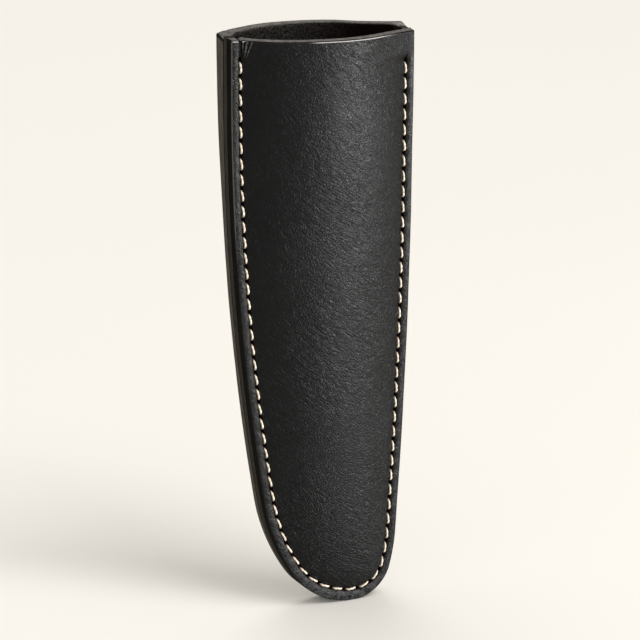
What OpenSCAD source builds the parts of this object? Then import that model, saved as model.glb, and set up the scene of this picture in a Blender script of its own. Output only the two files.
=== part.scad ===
// Leather blade guard for a kitchen knife.
// Two wet-formed panels are saddle stitched over a U-shaped welt, with the mouth at the top.
// X runs across the blade, Y through its thickness and Z from the tip up to the mouth.
// Minus X is the cutting edge side and plus X the spine side. The front panel faces minus Y.

/* [Outline] */
// Height of the seam from the tip to the mouth
guard_length = 186; // [150:1:230]
// Width across the outer edges at the mouth
mouth_width = 62; // [59:0.1:76]
// Distance from the straight cutting edge side to the lowest point of the tip
tip_from_edge = 43.3; // [40:0.1:48]
// Radius of the tip on the cutting edge side
edge_tip_radius = 26; // [20:0.5:30]
// Angle turned by the tip arc on the cutting edge side
edge_tip_turn = 56; // [50:1:60]
// Radius of the belly above that arc
edge_belly_radius = 66; // [55:1:74]
// Height where the cutting edge side becomes straight
edge_straight_z = 168; // [150:1:175]
// Radius of the tip on the spine side
spine_tip_radius = 12.5; // [9:0.5:14]
// Angle turned by the tip arc on the spine side
spine_tip_turn = 74; // [60:1:78]
// Radius of the soft corner above that arc
spine_corner_radius = 57; // [40:1:60]
// Height where the spine side becomes straight
spine_straight_z = 155; // [140:1:175]

/* [Leather] */
// Thickness of the leather of both panels
leather = 3.0; // [2:0.1:4]
// Thickness of the welt between the panels
welt_thickness = 2.9; // [2:0.1:5]
// Bend radius of the front panel across the pocket
front_form_radius = 51; // [42:1:90]
// Bend radius of the back panel across the pocket
back_form_radius = 58; // [42:1:90]
// Extra thickness of the back margin at the mouth, where no stitch presses it
mouth_swell = 2.4; // [0:0.1:3]
// Extra span of the pocket's bow at the mouth, which opens it wider
mouth_flare = 3.0; // [0:0.1:5]
// Length below the mouth over which that swelling and that extra span die out
swell_length = 62; // [30:1:90]
// Slant of the mouth, whose back stands higher than its front
mouth_slant = 7.8; // [0:0.1:12]
// Rise of the mouth edge at mid width above that slant
mouth_dome = 0.3; // [0:0.1:4]
// Length below the mouth that follows its slant and its rise
dome_length = 30; // [15:1:60]
// Rounding of the outer edges and of the mouth
edge_round = 0.6; // [0.4:0.1:1.2]

/* [Seam] */
// Distance from the outer edge to the stitches along the sides
seam_margin = 3.0; // [2.6:0.1:5]
// Distance from the outer edge to the stitches at the lowest point of the tip
seam_margin_tip = 3.9; // [2.6:0.1:6]
// Distance from the stitches to the inner edge of the welt
welt_inside = 1.9; // [1.5:0.1:8]
// Spacing of the stitch holes
stitch_pitch = 4.95; // [3:0.1:8]
// First hole below the mouth on the cutting edge side
first_hole_edge = 6.5; // [4:0.1:20]
// First hole below the mouth on the spine side
first_hole_spine = 9.5; // [4:0.1:20]
// Length above the spine side's first hole over which groove and flat margin run out
run_out = 3; // [3:0.5:8]
// Diameter of the stitch holes
hole_d = 1.7; // [1.6:0.1:2.2]
// Diameter of the waxed thread on the faces
thread_d = 0.8; // [0.6:0.05:0.9]
// Diameter of each thread where two of them share a hole
thread_in_hole_d = 0.7; // [0.4:0.05:0.75]
// Height of a stitch's arch over its two holes
stitch_arch = 0.8; // [0.6:0.05:1.2]
// Height of the arch's ends over the floor of the groove
stitch_seat = 0.2; // [0.15:0.05:0.4]
// Width of the groove that the stitches lie in
groove_width = 1.0; // [0.9:0.05:1.2]
// Depth of that groove
groove_depth = 0.35; // [0.2:0.05:0.6]
// Width of each sloping side of the groove
groove_slope = 0.12; // [0.05:0.01:0.3]

/* [Hidden] */

EDGE = -1;
SPINE = 1;
FRONT = -1;
BACK = 1;

// Rows run from the tip to the spine side's first hole, closer together round the tip, and then
// evenly to the mouth.
low_rows = 34;
top_rows = 4;
rows = low_rows + top_rows;
row_power = 2.1;
// Columns run across: the rounded edge, the groove, the pocket and the same again.
round_steps = 2;
pocket_cells = 15;
swell_share = 0.1;
ring_columns = round_steps + 1 + 4;
columns = 2 * ring_columns + pocket_cells - 1;
// Points along the seam from which the holes are spaced.
seam_samples = 150;
$fn = 32;

// A side is three tangent arcs, each [radius, heading, reach from the tip, height] at its start.
// The last one meets the straight side of the given reach at the given height.
function side_arcs(reach, straight_z, r0, turn, r1) = let (
    x0 = r0 * sin(turn),
    z0 = r0 * (1 - cos(turn)),
    spare = reach - x0 + r1 * sin(turn) - r1,
    climb = straight_z - z0 - r1 * cos(turn),
    h1 = 90 - 2 * atan(spare / climb),
    r2 = r1 + climb / cos(h1)
) [
    [r0, 0, 0, 0],
    [r1, turn, x0, z0],
    [r2, h1, x0 + r1 * (sin(h1) - sin(turn)), z0 + r1 * (cos(turn) - cos(h1))]
];
edge_arcs = side_arcs(tip_from_edge, edge_straight_z, edge_tip_radius, edge_tip_turn, edge_belly_radius);
spine_reach = mouth_width - tip_from_edge;
spine_arcs = side_arcs(spine_reach, spine_straight_z, spine_tip_radius, spine_tip_turn, spine_corner_radius);

function arcs(side) = side == EDGE ? edge_arcs : spine_arcs;
function arc_at(side, z) = let (a = arcs(side)) z >= a[2][3] ? a[2] : z >= a[1][3] ? a[1] : a[0];
// Heading of the outline at a height: 0 at the tip's lowest point, 90 on the straight side.
function heading(side, z) = let (a = arc_at(side, z)) acos(max(0, cos(a[1]) - (z - a[3]) / a[0]));
function reach_at(side, z) = let (a = arc_at(side, z)) a[2] + a[0] * (sin(heading(side, z)) - sin(a[1]));

// The tip's lowest point stands off the middle of the box by half the difference of the sides.
tip_x = (reach_at(EDGE, guard_length) - reach_at(SPINE, guard_length)) / 2;

// A point a distance in from the outer edge, beside the outline's point of height z.
function inset(side, z, distance) = let (h = heading(side, z)) [
    tip_x + side * (reach_at(side, z) - sin(h) * distance),
    min(guard_length, z + cos(h) * distance)
];
function seam_inset(side, z) = seam_margin + (seam_margin_tip - seam_margin) * pow(cos(heading(side, z)), 2);
function smooth(v) = let (t = min(1, max(0, v))) t * t * (3 - 2 * t);
function row_z(k) = k <= low_rows
    ? (guard_length - first_hole_spine) * pow(k / low_rows, row_power)
    : guard_length - first_hole_spine * (rows - k) / top_rows;

// Distance of each edge column from the outer edge, and the depth of its face below the flat margin.
crease = groove_width / 2 + groove_slope;
function ring_offset(side, z, j) = let (m = seam_inset(side, z)) j <= round_steps
    ? edge_round * (1 - cos(90 * j / round_steps))
    : m + [-crease, -groove_width / 2, groove_width / 2, crease][j - round_steps - 1];
function ring_drop(j) = j <= round_steps
    ? edge_round * (1 - sin(90 * j / round_steps))
    : [0, groove_depth, groove_depth, 0][j - round_steps - 1];

// Place of a column's point in a row, seen from the front.
function crease_point(side, z) = inset(side, z, ring_offset(side, z, ring_columns - 1));
function share(j) = (1 - cos(180 * (j - ring_columns + 1) / pocket_cells)) / 2;
function in_pocket(j) = j >= ring_columns && j < columns - ring_columns;
function plan_point(k, j) = let (z = row_z(k)) j < ring_columns
    ? inset(EDGE, z, ring_offset(EDGE, z, j))
    : in_pocket(j)
        ? crease_point(EDGE, z) * (1 - share(j)) + crease_point(SPINE, z) * share(j)
        : inset(SPINE, z, ring_offset(SPINE, z, columns - 1 - j));

// Above the spine side's first hole the margin runs out, and the pocket reaches the edge.
function ran_out(z) = smooth((z - guard_length + first_hole_spine) / run_out);
function span(z) = norm(crease_point(SPINE, z) - crease_point(EDGE, z));
function pocket_end(z) = z == 0 ? 1
    : 1 + ran_out(z) * (ring_offset(SPINE, z, ring_columns - 1) - edge_round) / span(z);

// Across the pocket the leather bends to one radius, and then goes straight on to the pocket's end.
function along(k, j) = let (z = row_z(k), a = crease_point(EDGE, z), b = crease_point(SPINE, z))
    k == 0 ? 0 : min(pocket_end(z), max(0, (plan_point(k, j) - a) * (b - a) / pow(span(z), 2)));
function bent(k, j) = let (e = pocket_end(row_z(k))) min(along(k, j), e - sqrt(e * (e - 1)));
function chord(z) = span(z) + swell(z, mouth_flare);
function rise(k, j, r) = let (t = along(k, j), s = bent(k, j))
    pow(chord(row_z(k)), 2) * (t - s * (2 * t - s)) / (2 * r);
function slope(k, j, r) = chord(row_z(k)) * (1 - 2 * bent(k, j)) / (2 * r);
function drop(k, j) = j < ring_columns
    ? ring_drop(j)
    : in_pocket(j)
        ? 0
        : ring_drop(columns - 1 - j) * (columns - 1 - j > round_steps ? 1 - ran_out(row_z(k)) : 1);
function swell(z, amount) = amount * smooth((z - guard_length + swell_length) / swell_length);
function near_mouth(k) = smooth((row_z(k) - guard_length + dome_length) / dome_length);
function dome(k, j) = in_pocket(j) ? mouth_dome * 4 * share(j) * (1 - share(j)) * near_mouth(k) : 0;

// Faces of a panel: the outer face has one more row, which carries the rounding of the mouth.
function outer_y(k, j, r, amount) = leather + swell(row_z(k), amount) + rise(k, j, r) - drop(k, j);
function inner_y(k, j, r, amount) = in_pocket(j)
    ? max(0, rise(k, j, r) + lifted(k, j, amount) - leather * (sqrt(1 + pow(slope(k, j, r), 2)) - 1))
    : 0;
// A swollen margin thins to the plain leather over the first part of the pocket's width.
function lifted(k, j, amount) = swell(row_z(k), amount) * smooth(min(share(j), 1 - share(j)) / swell_share);
function face_point(face, k, j, out) = let (p = plan_point(k, j), y = mid_y + face * (welt_thickness / 2 + out))
    [p[0], y, p[1] + dome(k, j) + y * tan(mouth_slant) * near_mouth(k)];
function panel_points(face, r, amount) = concat(
    [for (k = [0 : rows], j = [0 : columns - 1])
        face_point(face, k, j, outer_y(k, j, r, amount)) - [0, 0, k == rows ? edge_round : 0]],
    [for (j = [0 : columns - 1]) face_point(face, rows, j, outer_y(rows, j, r, amount) - edge_round)],
    [for (k = [0 : rows], j = [0 : columns - 1]) face_point(face, k, j, inner_y(k, j, r, amount))]
);

// The two sides share their points in the lowest row, and the pocket has only one there.
function fold(j) = j < ring_columns ? j : in_pocket(j) ? ring_columns - 1 : columns - 1 - j;
function outer_id(k, j) = k == 0 ? fold(j) : k * columns + j;
function inner_id(k, j) = (rows + 2) * columns + outer_id(k, j);
function quad(a, b, c, d) = concat(
    a == b || b == c || a == c ? [] : [[a, b, c]],
    a == c || c == d || a == d ? [] : [[a, c, d]]
);
outer_faces = [for (k = [0 : rows], j = [0 : columns - 2])
    each quad(outer_id(k, j), outer_id(k, j + 1), outer_id(k + 1, j + 1), outer_id(k + 1, j))];
inner_faces = [for (k = [0 : rows - 1], j = [0 : columns - 2])
    each quad(inner_id(k + 1, j), inner_id(k + 1, j + 1), inner_id(k, j + 1), inner_id(k, j))];
rim_faces = [for (j = [0 : columns - 2])
    each quad(outer_id(rows + 1, j), outer_id(rows + 1, j + 1), inner_id(rows, j + 1), inner_id(rows, j))];
function side_faces(j) = [for (k = [0 : rows - 1])
    each quad(outer_id(k + 1, j), inner_id(k + 1, j), inner_id(k, j), outer_id(k, j))];
function flip(faces) = [for (f = faces) [f[2], f[1], f[0]]];
last = columns - 1;
corner_faces = [
    [outer_id(rows + 1, 0), inner_id(rows, 0), outer_id(rows, 0)],
    [outer_id(rows, last), inner_id(rows, last), outer_id(rows + 1, last)]
];
panel_faces = concat(outer_faces, inner_faces, rim_faces, side_faces(0), flip(side_faces(last)), corner_faces);

module formed_panel(face, r, amount) {
    polyhedron(panel_points(face, r, amount), face == BACK ? panel_faces : flip(panel_faces), convexity = 6);
}

// The middle of the box lies between the two crowns at the mouth.
function crown(r, amount) = welt_thickness / 2 + leather + amount + pow(chord(guard_length), 2) / (8 * r);
mid_y = (crown(front_form_radius, 0) - crown(back_form_radius, mouth_swell)) / 2;

// The seam runs from the edge side's first hole, round the tip, to the spine side's first hole.
function seam_point(side, z) = inset(side, z, seam_inset(side, z));
function seam_side(side, first) = let (top = guard_length - first)
    [for (i = [0 : seam_samples]) seam_point(side, top * pow(i / seam_samples, row_power))];
seam_up = seam_side(SPINE, first_hole_spine);
seam_down = seam_side(EDGE, first_hole_edge);
seam_line = concat([for (i = [seam_samples : -1 : 1]) seam_down[i]], seam_up);
run = [for (i = 0, s = 0; i < len(seam_line);
    s = s + (i + 1 < len(seam_line) ? norm(seam_line[i + 1] - seam_line[i]) : 0), i = i + 1) s];
run_x = [for (i = [0 : len(run) - 1]) [run[i], seam_line[i][0]]];
run_z = [for (i = [0 : len(run) - 1]) [run[i], seam_line[i][1]]];
seam_length = run[len(run) - 1];
stitches = round(seam_length / stitch_pitch);
holes = [for (i = [0 : stitches]) let (s = seam_length * i / stitches) [lookup(s, run_x), lookup(s, run_z)]];

bore_length = 2 * (welt_thickness + 2 * leather + mouth_swell);

module bores() {
    for (p = holes)
        translate([p[0], mid_y, p[1]])
            rotate([90, 0, 0])
                cylinder(d = hole_d, h = bore_length, center = true);
}

module front_panel() {
    color([0.09, 0.09, 0.10])
        difference() {
            formed_panel(FRONT, front_form_radius, 0);
            bores();
        }
}

module back_panel() {
    color([0.11, 0.11, 0.12])
        difference() {
            formed_panel(BACK, back_form_radius, mouth_swell);
            bores();
        }
}

// The welt is cut to the panels' outline and to the slant of the mouth, and its inner edge runs
// beside the stitches.
function raised(list) = concat(list, [list[rows] + [0, welt_thickness]]);
function welt_outer(side) = raised([for (k = [0 : rows]) inset(side, row_z(k), 0)]);
function welt_inner(side) = raised([for (k = [0 : rows])
    inset(side, row_z(k), seam_inset(side, row_z(k)) + welt_inside)]);
function downwards(list) = [for (i = [len(list) - 1 : -1 : 1]) list[i]];
module welt_outline() {
    polygon(concat(
        downwards(welt_outer(EDGE)), welt_outer(SPINE),
        downwards(welt_inner(SPINE)), welt_inner(EDGE)
    ));
}
module above_mouth() {
    translate([0, 0, guard_length])
        rotate([mouth_slant, 0, 0])
            translate([-mouth_width / 2 - welt_thickness, -2 * welt_thickness, 0])
                cube([mouth_width + 2 * welt_thickness, 4 * welt_thickness, 2 * welt_thickness]);
}
module edge_welt() {
    color([0.16, 0.15, 0.14])
        difference() {
            translate([0, mid_y, 0])
                rotate([90, 0, 0])
                    linear_extrude(welt_thickness, center = true)
                        difference() {
                            welt_outline();
                            for (p = holes) translate(p) circle(d = hole_d);
                        }
            above_mouth();
        }
}

// Each stitch is a loop of the thread: an arch on each face and a run through each of two holes.
// Two loops share a hole, side by side, so a loop's runs stand in from the middles of its holes.
run_inset = hole_d / 4;
function floor_out(face, z) = welt_thickness / 2 + leather - groove_depth
    + stitch_seat + (face == BACK ? swell(z, mouth_swell) : 0);

module arch(face, span) {
    bow = (pow(span / 2, 2) + pow(stitch_arch, 2)) / (2 * stitch_arch);
    half = asin(span / 2 / bow);
    rotate([0, 0, face == FRONT ? 180 : 0])
        translate([0, stitch_arch - bow, 0])
            rotate([0, 0, 90 - half])
                rotate_extrude(angle = 2 * half)
                    translate([bow, 0]) circle(d = thread_d);
}
module stitch(a, b) {
    span = norm(b - a) - 2 * run_inset;
    middle = (a + b) / 2;
    top = max(a[1], b[1]);
    front_y = floor_out(FRONT, top);
    back_y = floor_out(BACK, top);
    translate([middle[0], 0, middle[1]])
        rotate([0, -atan2(b[1] - a[1], b[0] - a[0]), 0]) {
            translate([0, -front_y, 0]) arch(FRONT, span);
            translate([0, back_y, 0]) arch(BACK, span);
            for (end = [-1, 1])
                translate([end * span / 2, back_y, 0])
                    rotate([90, 0, 0])
                        cylinder(d = thread_in_hole_d, h = front_y + back_y);
        }
}
module saddle_stitch_thread() {
    color([0.86, 0.80, 0.68])
        translate([0, mid_y, 0])
            for (i = [0 : stitches - 1])
                stitch(holes[i], holes[i + 1]);
}

front_panel();
back_panel();
edge_welt();
saddle_stitch_thread();
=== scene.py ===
import math

import bmesh
import bpy
import numpy as np
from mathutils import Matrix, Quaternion, Vector


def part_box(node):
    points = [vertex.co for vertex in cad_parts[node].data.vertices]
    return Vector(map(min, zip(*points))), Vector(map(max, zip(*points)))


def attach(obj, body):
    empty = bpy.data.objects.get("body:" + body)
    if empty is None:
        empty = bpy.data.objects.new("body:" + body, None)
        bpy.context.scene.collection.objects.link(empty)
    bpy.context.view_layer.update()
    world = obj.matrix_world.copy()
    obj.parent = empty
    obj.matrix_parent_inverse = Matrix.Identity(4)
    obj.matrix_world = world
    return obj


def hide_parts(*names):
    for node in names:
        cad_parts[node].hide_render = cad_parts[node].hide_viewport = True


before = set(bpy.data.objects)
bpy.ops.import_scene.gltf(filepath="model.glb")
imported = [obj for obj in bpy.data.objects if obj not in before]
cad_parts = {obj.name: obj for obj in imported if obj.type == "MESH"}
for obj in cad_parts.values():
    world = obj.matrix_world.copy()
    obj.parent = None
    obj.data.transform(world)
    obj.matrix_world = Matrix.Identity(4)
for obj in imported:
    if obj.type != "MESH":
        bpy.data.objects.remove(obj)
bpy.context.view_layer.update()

bl_info = {
    "name": "Leather Blade Guard",
    "version": (1, 0, 0),
    "blender": (4, 5, 0),
    "location": "View3D > Sidebar > Blade Guard",
    "description": "Dresses the packed blade guard: formed panels, burnished welt, saddle stitches",
    "category": "Object",
}

# The packed welt's box gives the outline its width and the layers their middle.
WELT_LOW, WELT_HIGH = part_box("edge_welt")

FRONT = -1
BACK = 1
EDGE = -1
SPINE = 1

# How much wider the dressed outline is than the packed one.
OUTLINE_SPREAD = 0.0007

# Marks in the burnish mask: the strip outside the stitches, too small to show as burnish, the rows of the
# mouth's rounding from the outer face inwards, and the least mark of the cut edge's own corner. On the
# rounding, marks of 0.3 and 0.35 carry a painted highlight where lit_rim is, and marks from 1.15 to 1.4 a
# painted shade line, which the corner's mark also lays along the cut edge under the mouth.
STRIP_MARK = 0.012
RIM_MARKS = (0, 0.3, 0.35, 1.15, 1.3, 1.4, 2)
CORNER_MARK = 1.3

# Where soft steps start, and over what reach they rise, as shares of the half width.
SWELL_FADE = (0.35, 0.55)
SPINE_LIFT = (0.45, 0.55)
EDGE_LIFT = (0.65, 0.25)

# The same in metres from the outer edge, for the swell of the back's inner face, and over what reach
# a panel's inner face leaves the welt.
OPENED_INSIDE = (0.0022, 0.0035)
WELT_STEP = 0.0012

# Out to this share of the seam's inset, a panel's inner face lies flat on the welt.
GLUED_SHARE = 0.6

# The depth over which the mouth's lifts grow, and the share of the pocket over which its suede does.
LIFT_DEPTH = 0.003
SUEDE_EASE = 0.05

# Creases that fan out above the first stitch: angles from upright in radians, then metres.
FAN_STARTS = (0.05, 0.2)
FAN_ENDS = (1.0, 0.35)
FAN_PITCH = 0.24
FAN_LENGTH = (0.0062, 0.003)
FAN_ROOT = 0.0015
FAN_HEIGHT = 0.00022

# The line pressed in below the mouth's edge: depth, distance below the edge and half width.
PRESSED_DEPTH = 0.00010
PRESSED_BELOW = 0.0016
PRESSED_HALF = 0.00032

# The raised leather beside the drawn-in notch: its share of the notch, and its distance in groove widths.
NOTCH_LIP = 0.35
NOTCH_LIP_AT = 2.2

# The welt's first step in from the cut edge, and the tools that punch the stitch holes.
WELT_LAP = 0.0012
PUNCH_REACH = 0.02
PUNCH_SIDES = 16

# Faces that meet at more than this angle keep a sharp edge.
SHARP_ANGLE = math.radians(40)

# Stitches: points along one, points round the thread, plies, the powers that widen and flatten the arch, and
# how far each stitch may lie turned by chance.
STITCH_POINTS = 21
THREAD_POINTS = 12
PLIES = 3
ARCH_WIDENS = 0.62
ARCH_FLATTENS = 0.72
LOOSE_TURN = 0.04

# Places of the looks on the guard, along X and Z: the painted highlight on the mouth's edge, the worn line on
# the cutting edge side, the strip's tone near the tip and the painted shade inside the pocket.
LIT_RIM_X = (-0.010, -0.005, 0.015, 0.027)
RIM_Z = (0.1805, 0.1820)
WORN_EDGE_X = (0.0292, 0.0302)
TIP_Z = (0.002, 0.014)
SHADED_X = (-0.012, 0.022)

# The direction in which the grain is pulled.
CREASE_ANGLE = math.radians(122)


def length(name, description, default):
    """A size in metres."""
    return bpy.props.FloatProperty(
        name=name, description=description, default=default, unit="LENGTH", subtype="DISTANCE", precision=5
    )


def turn(name, description, degrees):
    """An angle, given in degrees."""
    return bpy.props.FloatProperty(
        name=name, description=description, default=math.radians(degrees), unit="ROTATION", subtype="ANGLE"
    )


def share(name, description, default):
    """A plain number."""
    return bpy.props.FloatProperty(name=name, description=description, default=default, precision=3)


def count(name, description, default):
    """A whole number."""
    return bpy.props.IntProperty(name=name, description=description, default=default, min=1)


def colour(name, description, default):
    """A linear colour."""
    return bpy.props.FloatVectorProperty(
        name=name, description=description, default=default, subtype="COLOR", size=3, min=0, max=1
    )


class GuardOutline(bpy.types.PropertyGroup):
    """The outline of the sewn sheath."""

    seam_height: length("Seam height", "Height of the seam from the tip to the mouth", 0.186)
    mouth_width: length("Mouth width", "Width across the outer edges at the mouth",
                        WELT_HIGH.x - WELT_LOW.x + OUTLINE_SPREAD)
    tip_from_edge: length("Tip from edge", "Distance from the cutting edge side to the lowest point", 0.04375)
    edge_tip_radius: length("Edge tip radius", "Radius of the tip on the cutting edge side", 0.0266)
    edge_tip_turn: turn("Edge tip turn", "Angle turned by the tip arc on the cutting edge side", 56)
    edge_belly_radius: length("Edge belly radius", "Radius of the belly above that arc", 0.066)
    edge_straight: length("Edge straight height", "Height where that side becomes straight", 0.168)
    spine_tip_radius: length("Spine tip radius", "Radius of the tip on the spine side", 0.0133)
    spine_tip_turn: turn("Spine tip turn", "Angle turned by the tip arc on the spine side", 74.5)
    spine_corner_radius: length("Spine corner radius", "Radius of the soft corner above that arc", 0.060)
    spine_straight: length("Spine straight height", "Height where the spine side becomes straight", 0.150)


class GuardLeather(bpy.types.PropertyGroup):
    """The leather and how it is formed."""

    thickness: length("Leather", "Thickness of the leather of both panels", 0.003)
    front_radius: length("Front bend", "Bend radius of the front panel across the pocket", 0.051)
    back_radius: length("Back bend", "Bend radius of the back panel across the pocket", 0.058)
    mouth_swell: length("Mouth swell", "Extra thickness of the back margin at the mouth", 0.0026)
    mouth_flare: length("Mouth flare", "Extra span of the pocket's bow at the mouth", 0.003)
    swell_fade: share("Swell fade", "Share of that swell that is missing on the spine side", 0.95)
    swell_length: length("Swell length", "Length below the mouth over which both of these die out", 0.062)
    mouth_slant: turn("Mouth slant", "Slant of the mouth, whose back stands higher than its front", 7.7)
    mouth_twist: share("Mouth twist", "How much steeper that slant is at the cutting edge side", 0.38)
    spine_lift: length("Spine lift", "How much higher the back's mouth edge stands at the spine side", 0.0010)
    edge_lift: length("Edge lift", "The same on the cutting edge side", 0.00022)
    mouth_dome: length("Mouth dome", "Rise of the mouth edge at mid width above that slant", 0.0003)
    dome_length: length("Dome length", "Length below the mouth that follows its slant and rise", 0.030)
    front_lift: length("Front lift", "How much higher the front's mouth edge stands than that slant", 0.00035)
    corner_wear: length("Corner wear", "How far the back's corner at the mouth is worn down", 0.0009)
    corner_reach: length("Corner reach", "Width and half the height of that worn corner", 0.0032)
    notch: length("Notch", "How far the thread's first pull draws down the front's mouth edge", 0.00045)
    edge_round: length("Edge round", "Rounding of the outer edges", 0.0005)
    mouth_round: length("Mouth round", "Rounding of the mouth's outer edge", 0.0005)
    inner_round: length("Inner round", "Rounding of the mouth's inner edge", 0.0004)
    crease_soft: length("Crease softness", "How softly the bulge leaves the flat margin", 0.00025)
    glue_dent: length("Glue dent", "Depth of the line between two glued layers", 0.00016)
    glue_width: length("Glue width", "Half width of that line", 0.00028)
    strip_crown: length("Strip crown", "Bulge of the strip outside the stitches", 0.00012)
    row_step: length("Row step", "Distance between the mesh rows along the edge", 0.0006)
    pocket_columns: count("Pocket columns", "Mesh columns across the pocket", 52)


class GuardSeam(bpy.types.PropertyGroup):
    """The seam and its thread."""

    margin: length("Seam margin", "Distance from the outer edge to the stitches along the sides", 0.00315)
    margin_tip: length("Seam margin at the tip", "The same distance at the tip", 0.0039)
    welt_inside: length("Welt inside", "Distance from the stitches to the welt's inner edge", 0.0019)
    welt_edge: length("Welt, edge", "Width of the welt at the mouth on the cutting edge side", 0.0031)
    welt_spine: length("Welt, spine", "Width of the welt at the mouth on the spine side", 0.0024)
    pitch: length("Stitch pitch", "Spacing of the stitch holes", 0.00495)
    first_edge: length("First hole, edge", "First hole below the mouth on the cutting edge side", 0.0065)
    first_spine: length("First hole, spine", "First hole below the mouth on the spine side", 0.0095)
    run_out: length("Run out", "Length over which both die out above the spine side's first hole", 0.003)
    groove_half: length("Groove half width", "Half width of the stitch groove", 0.00062)
    groove_depth: length("Groove depth", "Depth of the stitch groove", 0.00045)
    hole_length: length("Hole length", "Length of a stitch hole along the seam", 0.0021)
    hole_width: length("Hole width", "Width of a stitch hole", 0.00130)
    dimple: length("Dimple", "How deep the thread pulls the leather in at a hole", 0.00034)
    dimple_reach: length("Dimple reach", "Radius over which it does", 0.0012)
    thread: length("Thread", "Diameter of the waxed thread", 0.00072)
    arch: length("Stitch arch", "Height of a stitch's middle over the groove's floor", 0.00060)
    sink: length("Stitch sink", "Depth to which a stitch's ends go into their holes", 0.0016)
    slant: turn("Slant", "Angle between a stitch and the seam", 6)
    twist: share("Twist", "Turns of the thread's plies along one stitch", 1.6)


class GuardFinish(bpy.types.PropertyGroup):
    """Colours of leather, thread and floor."""

    grain: colour("Grain", "Black grain side of the leather", (0.0021, 0.0021, 0.0023))
    burnish: colour("Burnish", "Burnished cut edge of the leather", (0.108, 0.101, 0.088))
    burnish_dark: colour("Dark burnish", "Darker streaks of that edge", (0.060, 0.054, 0.044))
    rim: colour("Rim", "Paler burnish of the mouth's edge", (0.145, 0.137, 0.129))
    strip: colour("Strip", "Rubbed strip outside the stitches", (0.0085, 0.0083, 0.0083))
    tip_strip: colour("Strip at the tip", "The same at the tip", (0.024, 0.024, 0.0245))
    # The worn tone is also the base of the painted highlight on the mouth's edge.
    worn: colour("Worn corner", "Line worn along the outer corners", (0.10, 0.097, 0.094))
    flesh: colour("Flesh side", "Suede-like inside of the pocket", (0.030, 0.0272, 0.0255))
    deep: colour("Deep flesh", "The same where the pocket is in shade", (0.0042, 0.0024, 0.0018))
    core: colour("Core", "Leather inside the stitch holes", (0.012, 0.006, 0.003))
    thread: colour("Thread", "Waxed natural thread", (0.72, 0.665, 0.575))
    floor: colour("Floor", "Pale floor", (0.90, 0.877, 0.83))


class GuardStage(bpy.types.PropertyGroup):
    """Camera and light."""

    lens: share("Focal length", "Focal length in millimetres on a 36 mm sensor", 135)
    azimuth: turn("Azimuth", "Angle of the view round the guard", -26.1)
    elevation: turn("Elevation", "Angle of the view above the horizon", 14.17)
    roll: turn("Roll", "Turn of the camera about its own view", 0.41)
    distance: length("Distance", "Distance of the camera from its target", 0.7615)
    target: bpy.props.FloatVectorProperty(
        name="Target", description="Point in the middle of the picture", default=(0.0013, -0.0007, 0.0945),
        unit="LENGTH", subtype="TRANSLATION", size=3, precision=5,
    )


def smooth(value):
    """0 below 0, 1 above 1 and a soft step between."""
    t = np.clip(value, 0, 1)
    return t * t * (3 - 2 * t)


def grow(value, start, reach):
    """Rises softly from 0 at a start to 1 a reach further on."""
    return smooth((value - start) / reach)


def fall(value, end, reach):
    """Falls softly from 1 to 0 at an end, over a reach."""
    return smooth((end - value) / reach)


class Side:
    """One side of the outline: three tangent arcs from the tip's lowest point up to a straight edge."""

    def __init__(self, sign, reach, straight, tip_radius, tip_turn, next_radius):
        x = tip_radius * math.sin(tip_turn)
        z = tip_radius * (1 - math.cos(tip_turn))
        spare = reach - x + next_radius * (math.sin(tip_turn) - 1)
        climb = straight - z - next_radius * math.cos(tip_turn)
        last_turn = math.pi / 2 - 2 * math.atan(spare / climb)
        self.sign = sign
        self.radius = np.array([tip_radius, next_radius, next_radius + climb / math.cos(last_turn)])
        self.start = np.array([0, tip_turn, last_turn])
        self.x = np.array([0, x, x + next_radius * (math.sin(last_turn) - math.sin(tip_turn))])
        self.z = np.array([0, z, z + next_radius * (math.cos(tip_turn) - math.cos(last_turn))])

    def arc(self, z):
        return np.searchsorted(self.z, z, side="right") - 1

    def heading(self, z):
        """Heading of the outline at a height: 0 at the lowest point, a right angle on the straight side."""
        i = self.arc(z)
        return np.arccos(np.clip(np.cos(self.start[i]) - (z - self.z[i]) / self.radius[i], 0, 1))

    def reach(self, z):
        i = self.arc(z)
        return self.x[i] + self.radius[i] * (np.sin(self.heading(z)) - np.sin(self.start[i]))


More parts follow.
